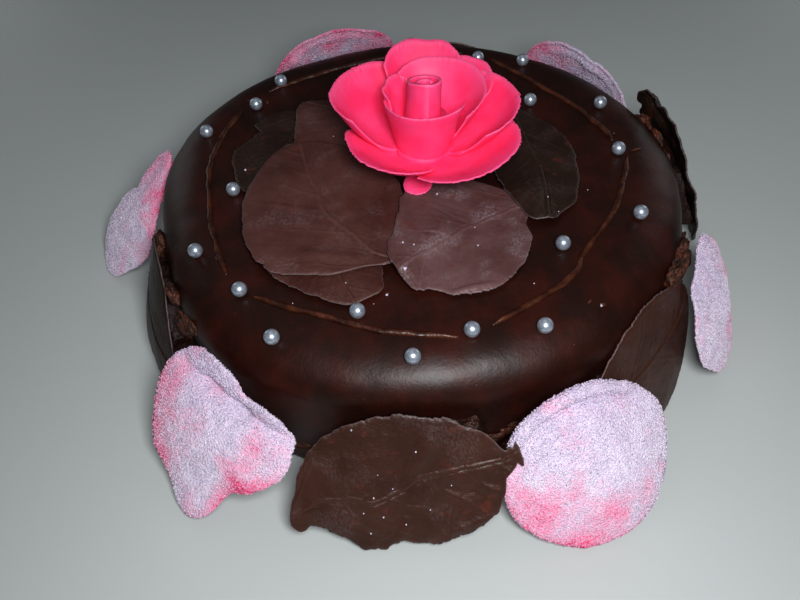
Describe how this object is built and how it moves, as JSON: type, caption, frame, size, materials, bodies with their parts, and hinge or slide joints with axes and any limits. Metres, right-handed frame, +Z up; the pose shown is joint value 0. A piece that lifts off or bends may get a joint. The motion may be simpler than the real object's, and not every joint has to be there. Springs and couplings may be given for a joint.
{
  "type": "sachertorte cake",
  "caption": "Whole round chocolate torte with glossy glaze, a piped line and sugar pearls, chocolate leaves, sugared petals and a sugar-paste rose.",
  "frame": {"origin": "centre of the cake's flat base, on the surface that it rests on", "axes": "+Z up, -Y towards the front of the picture, +X to its right"},
  "size_m": [0.2925, 0.2874, 0.1052],
  "materials": {
    "chocolate_glaze": "satin dark chocolate",
    "chocolate_leaf": "matt chocolate with a pale bloom",
    "pink_sugar_paste": "matt sugar paste",
    "sugared_petal": "rough sugar crystals"
  },
  "bodies": {
    "root": {"cake": "chocolate_glaze", "rose": "pink_sugar_paste", "leaf_top_under": "chocolate_leaf", "leaf_top_left": "chocolate_leaf", "leaf_top_back": "chocolate_leaf", "leaf_top_upper_left": "chocolate_leaf", "leaf_top_big": "chocolate_leaf", "leaf_top_centre": "chocolate_leaf", "leaf_top_right": "chocolate_leaf", "leaf_side_front": "chocolate_leaf", "leaf_side_right": "chocolate_leaf", "leaf_side_back_right": "chocolate_leaf", "leaf_side_back": "chocolate_leaf", "leaf_side_back_left": "chocolate_leaf", "leaf_side_left": "chocolate_leaf", "petal_front_left": "sugared_petal", "petal_front_right": "sugared_petal", "petal_right": "sugared_petal", "petal_back_right": "sugared_petal", "petal_back_left": "sugared_petal", "petal_left": "sugared_petal"}
  },
  "joints": []
}
